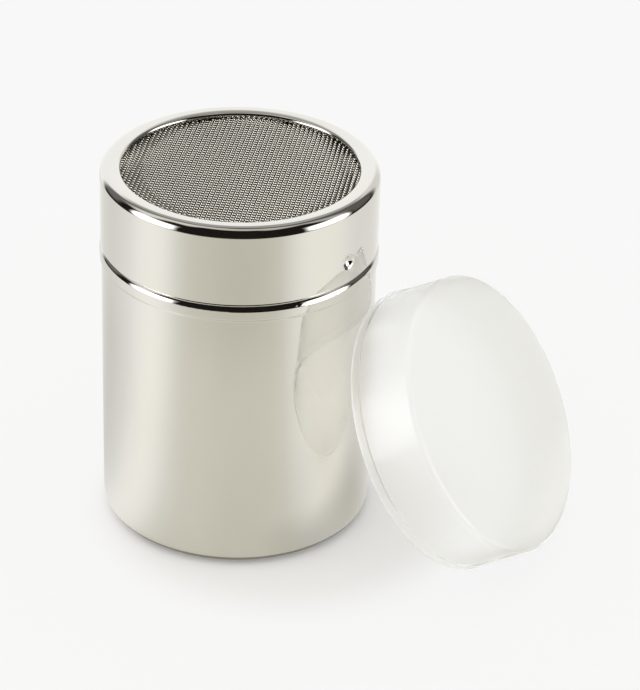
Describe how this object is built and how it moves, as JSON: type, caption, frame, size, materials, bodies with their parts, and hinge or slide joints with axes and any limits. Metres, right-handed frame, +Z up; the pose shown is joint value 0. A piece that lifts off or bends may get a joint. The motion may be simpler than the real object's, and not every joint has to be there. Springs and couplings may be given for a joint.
{
  "type": "mesh-top shaker",
  "caption": "Polished steel shaker jar with a bayonet cap that clamps a woven wire sieve, and a translucent push-fit cover, which is off and leans against the jar.",
  "frame": {"origin": "centre of the jar's base, on the surface it stands on", "axes": "+Z up along the jar's axis; -Y is the front, and the leaning cover is at +X"},
  "size_m": [0.1224, 0.0907, 0.0967],
  "materials": {
    "polished_steel": "mirror-polished stainless steel",
    "ring_steel": "plain pressed stainless steel",
    "sieve_wire": "drawn stainless steel wire, plain weave",
    "frosted_plastic": "translucent moulded polypropylene"
  },
  "bodies": {
    "jar": {"jar_body": "polished_steel"},
    "sieve": {"sieve_ring": "ring_steel", "sieve_warp": "sieve_wire", "sieve_weft": "sieve_wire"},
    "cap": {"cap_shell": "polished_steel"},
    "cover": {"snap_cover": "frosted_plastic"}
  },
  "joints": [
    {"name": "cap_lift", "type": "slide", "parent": "jar", "child": "sieve", "axis": [0, 0, 1], "range_m": [0, 0.045]},
    {"name": "cap_turn", "type": "hinge", "parent": "sieve", "child": "cap", "pos_m": [0, 0, 0.0816], "axis": [0, 0, 1], "range_deg": [-35, 0]},
    {"name": "cover_slide", "type": "slide", "parent": "jar", "child": "cover", "axis": [0.915, -0.4035, 0], "range_m": [0, 0.06]}
  ]
}
